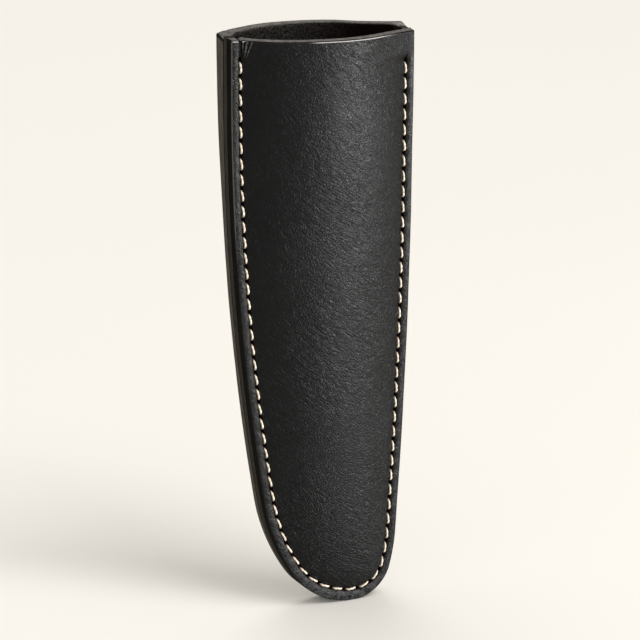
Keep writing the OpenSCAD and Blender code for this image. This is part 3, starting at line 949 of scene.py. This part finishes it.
def stitch_tree():
    """Geometry nodes that sew a line: one twisted stitch between each two neighbouring holes."""
    group = bpy.data.node_groups.new("saddle_stitches", "GeometryNodeTree")
    group.is_modifier = True
    face = group.interface
    face.new_socket("Geometry", in_out="INPUT", socket_type="NodeSocketGeometry")
    for name, kind in (
        ("Stitches", "Int"), ("Thread Radius", "Float"), ("Half Length", "Float"), ("Arch", "Float"),
        ("Sink", "Float"), ("Slant", "Float"), ("Twist", "Float"), ("Facing", "Vector"), ("Seed", "Int"),
        ("Thread", "Material"),
    ):
        face.new_socket(name, in_out="INPUT", socket_type="NodeSocket" + kind)
    face.new_socket("Geometry", in_out="OUTPUT", socket_type="NodeSocketGeometry")
    tree = Tree(group)
    given = group.nodes.new("NodeGroupInput")

    def value(name):
        return Socket(tree, given.outputs[name])

    line = tree.add("GeometryNodeMeshToCurve", {}, {"Mesh": value("Geometry")})
    holes = tree.add("GeometryNodeResampleCurve", {"mode": "COUNT"},
                     {"Curve": line, "Count": value("Stitches") + 1})
    edges = tree.add("GeometryNodeCurveToMesh", {}, {"Curve": holes})
    ends = group.nodes.new("GeometryNodeInputMeshEdgeVertices")
    run = tree.add("ShaderNodeVectorMath", {"operation": "SUBTRACT"},
                   {0: Socket(tree, ends.outputs["Position 2"]), 1: Socket(tree, ends.outputs["Position 1"])})
    marked = tree.add("GeometryNodeStoreNamedAttribute", {"data_type": "FLOAT_VECTOR", "domain": "EDGE"},
                      {"Geometry": edges, "Name": "run", "Value": run})
    places = tree.add("GeometryNodeMeshToPoints", {"mode": "EDGES"}, {"Mesh": marked, "Radius": 0.001})

    factor = tree.add("GeometryNodeSplineParameter", {}, {}, "Factor")
    base = tree.add("GeometryNodeCurvePrimitiveLine", {}, {"Start": (-1, 0, 0), "End": (1, 0, 0)})
    fine = tree.add("GeometryNodeResampleCurve", {"mode": "COUNT"}, {"Curve": base, "Count": STITCH_POINTS})
    swing = factor * math.pi
    cosine = swing.cosine()
    wide = cosine.maths("SIGN", cosine) * abs(cosine) ** ARCH_WIDENS * value("Half Length")
    rise = swing.sine().maths("MAXIMUM", swing.sine(), 0) ** ARCH_FLATTENS
    high = rise * (value("Arch") + value("Sink")) - value("Sink")
    path = tree.add("ShaderNodeCombineXYZ", {}, {"X": 0 - wide, "Z": high})
    bent = tree.add("GeometryNodeSetPosition", {}, {"Geometry": fine, "Position": path})
    named = tree.add("GeometryNodeStoreNamedAttribute", {"data_type": "FLOAT", "domain": "POINT"},
                     {"Geometry": bent, "Name": "along", "Value": factor})
    twisted = tree.add("GeometryNodeSetCurveTilt", {},
                       {"Curve": named, "Tilt": factor * value("Twist") * 2 * math.pi})
    ring = tree.add("GeometryNodeCurvePrimitiveCircle", {"mode": "RADIUS"},
                    {"Resolution": THREAD_POINTS, "Radius": value("Thread Radius")})
    lobes = 0.93 + 0.13 * (factor * (2 * PLIES) * math.pi).cosine()
    at = tree.add("GeometryNodeInputPosition", {}, {})
    pressed = tree.add("ShaderNodeVectorMath", {"operation": "SCALE"}, {0: at, "Scale": lobes})
    profile = tree.add("GeometryNodeSetPosition", {}, {"Geometry": ring, "Position": pressed})
    stitch = tree.add("GeometryNodeCurveToMesh", {},
                      {"Curve": twisted, "Profile Curve": profile, "Fill Caps": True})

    along_run = tree.add("GeometryNodeInputNamedAttribute", {"data_type": "FLOAT_VECTOR"}, {"Name": "run"})
    facing = tree.add("FunctionNodeAxesToRotation", {"primary_axis": "X", "secondary_axis": "Z"},
                      {"Primary Axis": along_run, "Secondary Axis": value("Facing")})
    chance = tree.add("FunctionNodeRandomValue", {"data_type": "FLOAT"},
                      {"Min": -LOOSE_TURN, "Max": LOOSE_TURN, "Seed": value("Seed")}, 1)
    tilt = tree.add("ShaderNodeCombineXYZ", {}, {"X": chance * 2, "Z": value("Slant") + chance})
    turned = tree.add("FunctionNodeEulerToRotation", {}, {"Euler": tilt})
    final = tree.add("FunctionNodeRotateRotation", {"rotation_space": "LOCAL"},
                     {"Rotation": facing, "Rotate By": turned})
    sewn = tree.add("GeometryNodeInstanceOnPoints", {},
                    {"Points": places, "Instance": stitch, "Rotation": final})
    tone = tree.add("FunctionNodeRandomValue", {"data_type": "FLOAT"}, {"Min": 0.0, "Max": 1.0, "Seed": 7}, 1)
    toned = tree.add("GeometryNodeStoreNamedAttribute", {"data_type": "FLOAT", "domain": "INSTANCE"},
                     {"Geometry": sewn, "Name": "tone", "Value": tone})
    real = tree.add("GeometryNodeRealizeInstances", {}, {"Geometry": toned})
    smooth_faces = tree.add("GeometryNodeSetShadeSmooth", {}, {"Geometry": real})
    last = tree.add("GeometryNodeSetMaterial", {}, {"Geometry": smooth_faces, "Material": value("Thread")})
    tree.add("NodeGroupOutput", {}, {"Geometry": last})
    return group


def set_inputs(modifier, values):
    """Sets a modifier's named inputs by their sockets' identifiers."""
    names = {s.name: s.identifier for s in modifier.node_group.interface.items_tree
             if s.item_type == "SOCKET" and s.in_out == "INPUT"}
    for name, value in values.items():
        modifier[names[name]] = value


def line_object(name, points):
    """A polyline as a mesh of edges."""
    mesh = bpy.data.meshes.new(name)
    mesh.from_pydata(points, [(i, i + 1) for i in range(len(points) - 1)], [])
    piece = bpy.data.objects.new(name, mesh)
    bpy.context.scene.collection.objects.link(piece)
    return piece


def towards(azimuth, elevation):
    """The direction of a view or light, from its angles round the guard and above the horizon."""
    level = math.cos(elevation)
    return Vector((math.sin(azimuth) * level, -math.cos(azimuth) * level, math.sin(elevation)))


class GUARD_OT_panels(bpy.types.Operator):
    """Builds the two wet-formed panels with their stitch holes"""

    bl_idname = "guard.panels"
    bl_label = "Formed panels"

    def execute(self, context):
        sheath = Sheath(context.scene)
        finish = context.scene.guard_finish
        core = core_material(finish)
        # The last number scales the panel's cut edge tone: the front's 0.08 is painted shade on its edge.
        for face, name, slot, node, tone in (
            (FRONT, "front_panel_leather", "front_leather", "front_panel", 0.08),
            (BACK, "back_panel_leather", "back_leather", "back_panel", 0.95),
        ):
            material = leather_material(slot, finish, tone, sheath.holes()[0] if face == FRONT else None)
            piece = Panel(sheath, face).build(name, [material])
            punch(piece, sheath, core)
            finish_piece(piece, node)
        return {"FINISHED"}


class GUARD_OT_welt(bpy.types.Operator):
    """Builds the welt between the panels"""

    bl_idname = "guard.welt"
    bl_label = "Edge welt"

    def execute(self, context):
        sheath = Sheath(context.scene)
        leather, seam = sheath.leather, sheath.seam
        finish = context.scene.guard_finish
        half = sheath.welt_half
        z = sheath.rows(sheath.height, leather.row_step)
        walls = np.array([-1, -0.93, -0.85, -0.7, -0.35, 0, 0.35, 0.7, 0.85, 0.93, 1])
        dents = leather.glue_dent * np.exp(-(((1 - np.abs(walls)) * half / leather.glue_width) ** 2))
        points = len(walls)
        out = np.concatenate([dents, [WELT_LAP, WELT_LAP, 0, 0]])
        y = np.concatenate([walls * half, [half, -half, half, -half]])
        inner = np.concatenate([np.zeros(points + 2), [1, 1]])
        order = [*range(points + 1), points + 2, points + 3, points + 1, 0]
        out, y, inner = out[order], y[order], inner[order]
        rings = {}
        for side, last, first in (
            (EDGE, seam.welt_edge, seam.first_edge),
            (SPINE, seam.welt_spine, seam.first_spine),
        ):
            width = sheath.seam_inset(side, z[:, None]) + seam.welt_inside
            width += (last - width) * smooth((z[:, None] - sheath.height + first) / seam.run_out)
            distance = out + inner * width
            x, plan_z = sheath.inset(side, z[:, None], distance)
            rings[side] = (x, plan_z)
        x = np.concatenate([rings[EDGE][0][::-1], rings[SPINE][0][1:]])
        height = np.concatenate([rings[EDGE][1][::-1], rings[SPINE][1][1:]])
        wall = np.broadcast_to((out < WELT_LAP) & (inner == 0), x.shape).astype(float)
        top = (height >= sheath.height - 1e-7).astype(float)
        depth = np.broadcast_to(y, x.shape) + sheath.middle
        height = height + sheath.slant(x, depth, sheath.near_mouth(height))
        piece = grid_object("edge_welt_leather", x, depth, height,
                            {"burnish": np.maximum(wall, top), "flesh": np.zeros_like(x)},
                            [leather_material("welt_leather", finish, 0.42)])
        punch(piece, sheath, core_material(finish))
        finish_piece(piece, "edge_welt")
        return {"FINISHED"}


class GUARD_OT_thread(bpy.types.Operator):
    """Sews the saddle stitches on both faces"""

    bl_idname = "guard.thread"
    bl_label = "Saddle stitches"

    def execute(self, context):
        sheath = Sheath(context.scene)
        seam = sheath.seam
        material = thread_material(context.scene.guard_finish)
        group = stitch_tree()
        stitches = len(sheath.holes()) - 1
        faces = []
        for face in (FRONT, BACK):
            line = sheath.seam_line()
            y = face * sheath.floor_out(face, line[:, 0], line[:, 1]) + sheath.middle
            points = [(p[0], d, p[1]) for p, d in zip(line, y)]
            piece = line_object("seam_line", points)
            nodes = piece.modifiers.new("saddle_stitches", "NODES")
            nodes.node_group = group
            set_inputs(nodes, {
                "Stitches": stitches, "Thread Radius": seam.thread / 2,
                "Half Length": seam.pitch / 2 - seam.hole_length * 0.38, "Arch": seam.arch, "Sink": seam.sink,
                "Slant": -face * seam.slant, "Twist": seam.twist, "Facing": (0, face, 0), "Seed": 3 + face,
                "Thread": material,
            })
            plain_mesh(piece)
            faces.append(piece)
        thread, other = faces
        with context.temp_override(active_object=thread, selected_editable_objects=[thread, other]):
            bpy.ops.object.join()
        thread.name = "waxed_thread_stitches"
        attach(thread, "root")
        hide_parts("saddle_stitch_thread")
        return {"FINISHED"}


class GUARD_OT_stage(bpy.types.Operator):
    """Sets the floor, the lights and the camera"""

    bl_idname = "guard.stage"
    bl_label = "Stage"

    def execute(self, context):
        scene = context.scene
        stage = scene.guard_stage
        finish = scene.guard_finish
        target = Vector(stage.target)

        mesh = bpy.data.meshes.new("floor")
        half = 6.0
        corners = [(-half, -half, 0), (half, -half, 0), (half, half, 0), (-half, half, 0)]
        mesh.from_pydata(corners, [], [(0, 1, 2, 3)])
        floor = bpy.data.objects.new("floor", mesh)
        scene.collection.objects.link(floor)
        material, tree, place = new_material("pale_floor")
        mottle = tree.noise(place, 3, 2)
        close_material(tree, tree.shader({
            "Base Color": tree.tones(mottle, finish.floor, 0.985, 1), "Roughness": 0.9,
            "Specular IOR Level": 0.2,
        }))
        mesh.materials.append(material)

        def place_light(name, kind, azimuth, elevation, distance, power):
            data = bpy.data.lights.new(name, kind)
            data.energy = power
            light = bpy.data.objects.new(name, data)
            back = towards(math.radians(azimuth), math.radians(elevation))
            light.location = target + back * distance
            light.rotation_euler = (-back).to_track_quat("-Z", "Y").to_euler()
            scene.collection.objects.link(light)
            return data

        for name, azimuth, elevation, strength, angle in (
            ("key_light", 25, 50, 1.22, 34),
            ("back_light", 165, 60, 0.45, 30),
        ):
            sun = place_light(name, "SUN", azimuth, elevation, 1, strength)
            sun.angle = math.radians(angle)
        for name, azimuth, elevation, distance, width, height, power in (
            ("right_softbox", 42, -1.1, 1.6, 0.58, 0.12, 27.0),
            ("near_softbox", 46, -1.4, 1.2, 0.20, 0.12, 10.4),
        ):
            box = place_light(name, "AREA", azimuth, elevation, distance, power)
            box.shape = "RECTANGLE"
            box.size, box.size_y = width, height

        world = bpy.data.worlds.new("studio")
        world.use_nodes = True
        world.node_tree.nodes.clear()
        tree = Tree(world.node_tree)
        light = tree.add("ShaderNodeBackground", {}, {"Color": (1, 0.970, 0.915, 1), "Strength": 0.61})
        tree.add("ShaderNodeOutputWorld", {}, {"Surface": light})
        scene.world = world

        camera = bpy.data.objects.new("camera", bpy.data.cameras.new("camera"))
        camera.data.lens = stage.lens
        camera.data.sensor_width = 36
        back = towards(stage.azimuth, stage.elevation)
        camera.location = target + back * stage.distance
        camera.rotation_mode = "QUATERNION"
        camera.rotation_quaternion = Quaternion(back, stage.roll) @ (-back).to_track_quat("-Z", "Y")
        scene.collection.objects.link(camera)
        scene.camera = camera
        scene.view_settings.view_transform = "Standard"
        return {"FINISHED"}


class GUARD_PT_sidebar(bpy.types.Panel):
    """Sizes, colours and steps of the blade guard"""

    bl_idname = "GUARD_PT_sidebar"
    bl_label = "Blade Guard"
    bl_space_type = "VIEW_3D"
    bl_region_type = "UI"
    bl_category = "Blade Guard"

    def draw(self, context):
        layout = self.layout
        for step in STEPS:
            layout.operator(step.bl_idname)
        for name, kind in GROUPS.items():
            box = layout.box()
            box.label(text=kind.__doc__)
            for size in kind.__annotations__:
                box.prop(getattr(context.scene, name), size)


GROUPS = {
    "guard_outline": GuardOutline,
    "guard_leather": GuardLeather,
    "guard_seam": GuardSeam,
    "guard_finish": GuardFinish,
    "guard_stage": GuardStage,
}
STEPS = (GUARD_OT_panels, GUARD_OT_welt, GUARD_OT_thread, GUARD_OT_stage)


def register():
    for name, group in GROUPS.items():
        bpy.utils.register_class(group)
        setattr(bpy.types.Scene, name, bpy.props.PointerProperty(type=group))
    for cls in (*STEPS, GUARD_PT_sidebar):
        bpy.utils.register_class(cls)


def unregister():
    for cls in (GUARD_PT_sidebar, *reversed(STEPS)):
        bpy.utils.unregister_class(cls)
    for name, group in GROUPS.items():
        delattr(bpy.types.Scene, name)
        bpy.utils.unregister_class(group)


def main():
    register()
    bpy.ops.guard.panels()
    bpy.ops.guard.welt()
    bpy.ops.guard.thread()
    bpy.ops.guard.stage()


if __name__ == "__main__":
    main()
